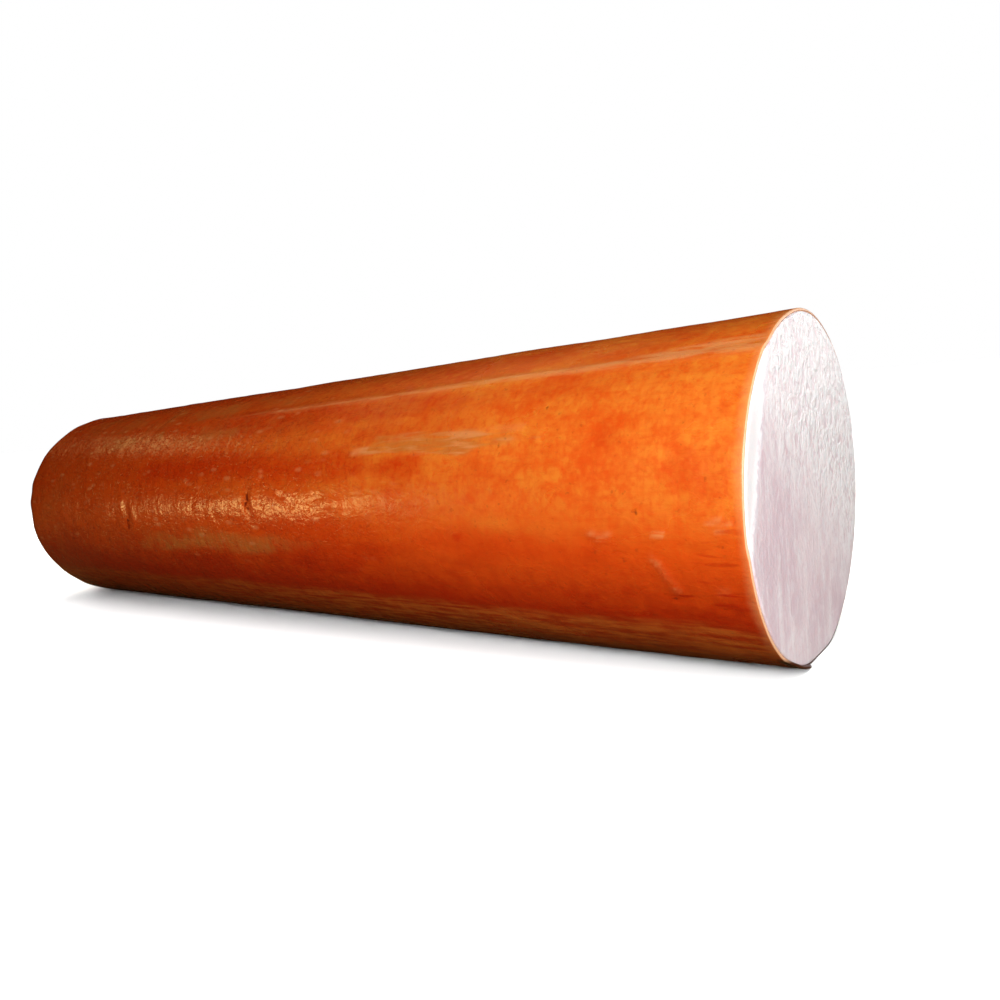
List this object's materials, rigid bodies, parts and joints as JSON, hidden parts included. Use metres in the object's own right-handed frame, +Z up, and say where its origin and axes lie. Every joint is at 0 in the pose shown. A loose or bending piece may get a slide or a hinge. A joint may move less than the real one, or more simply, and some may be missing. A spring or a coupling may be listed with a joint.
{
  "type": "cured sausage",
  "caption": "Large cured sausage in a natural casing, cut square at one end to show pale meat and naturally closed and rounded at the other, lying on its side",
  "frame": {"origin": "on the resting surface, under the middle of the sausage's bounding box", "axes": "+X towards the cut face along the length of the sausage, +Z up, +Y to its left when looking out of the cut face"},
  "size_m": [0.418, 0.105, 0.1036],
  "materials": {
    "casing": "gloss",
    "meat": "satin"
  },
  "bodies": {
    "root": {"casing": "casing", "filling": "meat"}
  },
  "joints": []
}
